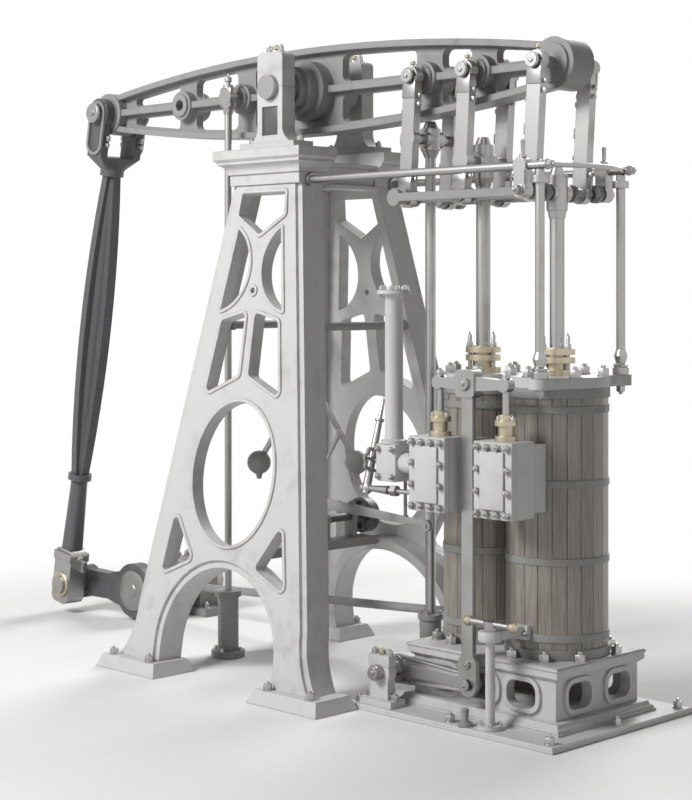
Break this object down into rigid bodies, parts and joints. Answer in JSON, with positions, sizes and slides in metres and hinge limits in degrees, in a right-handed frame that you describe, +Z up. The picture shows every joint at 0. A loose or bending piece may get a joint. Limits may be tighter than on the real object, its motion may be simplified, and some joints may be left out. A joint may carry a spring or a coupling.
{
  "type": "compound beam engine",
  "caption": "Compound beam engine: rocking beam on splayed pierced iron frames, two steam cylinders with link motion at one end, connecting rod and crank at the other.",
  "frame": {"origin": "on the floor under the middle of the beam's trunnion shaft", "axes": "+X along the beam towards the cylinders, +Y across it to the far frame, +Z up"},
  "size_m": [4.0007, 1.51, 3.015],
  "materials": {
    "cast_iron": "painted casting",
    "bright_steel": "bright forged and filed",
    "lagging": "varnished staves",
    "gland_brass": "polished"
  },
  "bodies": {
    "frame": {"front_frame": "cast_iron", "back_frame": "cast_iron", "front_cornice": "cast_iron", "back_cornice": "cast_iron", "cross_girders": "cast_iron", "frame_stays": "cast_iron", "trunnion_pedestals": "cast_iron", "trunnion_caps": "cast_iron", "crank_pedestal": "cast_iron", "crank_pedestal_cap": "cast_iron", "guide_posts": "bright_steel", "guide_rails": "bright_steel", "rail_end_bar": "bright_steel", "radius_brackets": "bright_steel", "bed_plate": "cast_iron", "cylinder_base": "cast_iron", "inner_cylinder": "cast_iron", "outer_cylinder": "cast_iron", "inner_lagging": "lagging", "outer_lagging": "lagging", "inner_cover": "cast_iron", "outer_cover": "cast_iron", "piston_glands": "gland_brass", "air_pump": "cast_iron", "feed_pump": "cast_iron", "inner_valve_chest": "cast_iron", "outer_valve_chest": "cast_iron", "chest_covers": "cast_iron", "valve_glands": "gland_brass", "rocker_pedestals": "cast_iron", "steam_pipe": "cast_iron", "throttle_valve": "cast_iron", "governor_girder": "cast_iron", "injection_stand": "cast_iron"},
    "beam": {"beam": "cast_iron", "trunnion_shaft": "bright_steel"},
    "connecting_rod": {"connecting_rod": "bright_steel", "big_end": "bright_steel"},
    "crank": {"crank": "cast_iron", "crankshaft": "bright_steel", "eccentric": "cast_iron"},
    "eccentric_rod": {"eccentric_rod": "bright_steel"},
    "main_links": {"main_links": "bright_steel"},
    "inner_links": {"inner_links": "bright_steel"},
    "pump_links": {"pump_links": "bright_steel"},
    "parallel_bars": {"parallel_bars": "bright_steel"},
    "radius_rods": {"radius_rods": "bright_steel"},
    "outer_piston_rod": {"outer_piston_rod": "bright_steel"},
    "inner_piston_rod": {"inner_piston_rod": "bright_steel"},
    "pump_rod": {"pump_rod": "bright_steel"},
    "feed_rod": {"feed_rod": "bright_steel"},
    "valve_gear": {"valve_crosshead": "bright_steel"},
    "rocking_shaft": {"rocking_shaft": "bright_steel"},
    "governor": {"governor": "cast_iron"},
    "governor_drive": {"governor_drive": "cast_iron"},
    "injection_handle": {"injection_handle": "bright_steel"}
  },
  "joints": [
    {"name": "beam_rock", "type": "hinge", "parent": "frame", "child": "beam", "pos_m": [0, 0, 2.805], "axis": [0, 1, 0], "range_deg": [-17, 17]},
    {"name": "connecting_rod_swing", "type": "hinge", "parent": "beam", "child": "connecting_rod", "pos_m": [-1.575, 0, 2.805], "axis": [0, 1, 0], "range_deg": [-17.5, 17.5]},
    {"name": "crank_turn", "type": "hinge", "parent": "frame", "child": "crank", "pos_m": [-1.575, 0.1, 0.165], "axis": [0, 1, 0], "range_deg": [-50.5, 50.5]},
    {"name": "eccentric_rod_swing", "type": "hinge", "parent": "crank", "child": "eccentric_rod", "pos_m": [-1.545, 0.4, 0.165], "axis": [0, 1, 0], "range_deg": [-51.12, 51.12]},
    {"name": "main_link_swing", "type": "hinge", "parent": "beam", "child": "main_links", "pos_m": [1.52, 0, 2.805], "axis": [0, 1, 0], "range_deg": [-17.5, 17.5]},
    {"name": "inner_link_swing", "type": "hinge", "parent": "beam", "child": "inner_links", "pos_m": [1.095, 0, 2.805], "axis": [0, 1, 0], "range_deg": [-17.5, 17.5]},
    {"name": "pump_link_swing", "type": "hinge", "parent": "beam", "child": "pump_links", "pos_m": [0.77, 0, 2.805], "axis": [0, 1, 0], "range_deg": [-17.5, 17.5]},
    {"name": "parallel_bar_swing", "type": "hinge", "parent": "main_links", "child": "parallel_bars", "pos_m": [1.48686, 0, 2.255], "axis": [0, 1, 0], "range_deg": [-17.5, 17.5]},
    {"name": "radius_rod_swing", "type": "hinge", "parent": "frame", "child": "radius_rods", "pos_m": [1.5274, 0, 2.255], "axis": [0, 1, 0], "range_deg": [-17.06, 17.06]},
    {"name": "outer_rod_slide", "type": "slide", "parent": "frame", "child": "outer_piston_rod", "axis": [0, 0, 1], "range_m": [-0.44838, 0.44838]},
    {"name": "inner_rod_slide", "type": "slide", "parent": "frame", "child": "inner_piston_rod", "axis": [0, 0, 1], "range_m": [-0.32301, 0.32301]},
    {"name": "pump_rod_slide", "type": "slide", "parent": "frame", "child": "pump_rod", "axis": [0, 0, 1], "range_m": [-0.22714, 0.22714]},
    {"name": "feed_rod_slide", "type": "slide", "parent": "frame", "child": "feed_rod", "axis": [0, 0, 1], "range_m": [-0.14218, 0.14218]},
    {"name": "rocker_turn", "type": "hinge", "parent": "frame", "child": "rocking_shaft", "pos_m": [0.85521, 0, 0.17], "axis": [0, 1, 0], "range_deg": [-7, 7]},
    {"name": "valve_slide", "type": "slide", "parent": "frame", "child": "valve_gear", "axis": [0, 0, 1], "range_m": [-0.05543, 0.05543]},
    {"name": "governor_spin", "type": "hinge", "parent": "frame", "child": "governor", "pos_m": [-0.06, 0, 0.6], "axis": [0, 0, 1], "continuous": true},
    {"name": "governor_drive_spin", "type": "hinge", "parent": "frame", "child": "governor_drive", "pos_m": [-0.06, 0.2, 0.7], "axis": [0, 1, 0], "continuous": true},
    {"name": "injection_turn", "type": "hinge", "parent": "frame", "child": "injection_handle", "pos_m": [1.47, -0.423, 0.45], "axis": [0, 0, 1], "range_deg": [0, 90]}
  ],
  "couplings": [
    {"joint": "connecting_rod_swing", "follows": "beam_rock", "ratio": -1},
    {"joint": "crank_turn", "follows": "beam_rock", "ratio": 2.9412},
    {"joint": "eccentric_rod_swing", "follows": "beam_rock", "ratio": -2.9779},
    {"joint": "main_link_swing", "follows": "beam_rock", "ratio": -1},
    {"joint": "inner_link_swing", "follows": "beam_rock", "ratio": -1},
    {"joint": "pump_link_swing", "follows": "beam_rock", "ratio": -1},
    {"joint": "parallel_bar_swing", "follows": "beam_rock", "ratio": 1},
    {"joint": "radius_rod_swing", "follows": "beam_rock", "ratio": -0.97403},
    {"joint": "outer_rod_slide", "follows": "beam_rock", "m_per_rad": -1.4962},
    {"joint": "inner_rod_slide", "follows": "beam_rock", "m_per_rad": -1.0779},
    {"joint": "pump_rod_slide", "follows": "beam_rock", "m_per_rad": -0.75795},
    {"joint": "feed_rod_slide", "follows": "beam_rock", "m_per_rad": 0.47446},
    {"joint": "valve_slide", "follows": "rocker_turn", "m_per_rad": -0.44478},
    {"joint": "governor_drive_spin", "follows": "governor_spin", "ratio": 1}
  ]
}
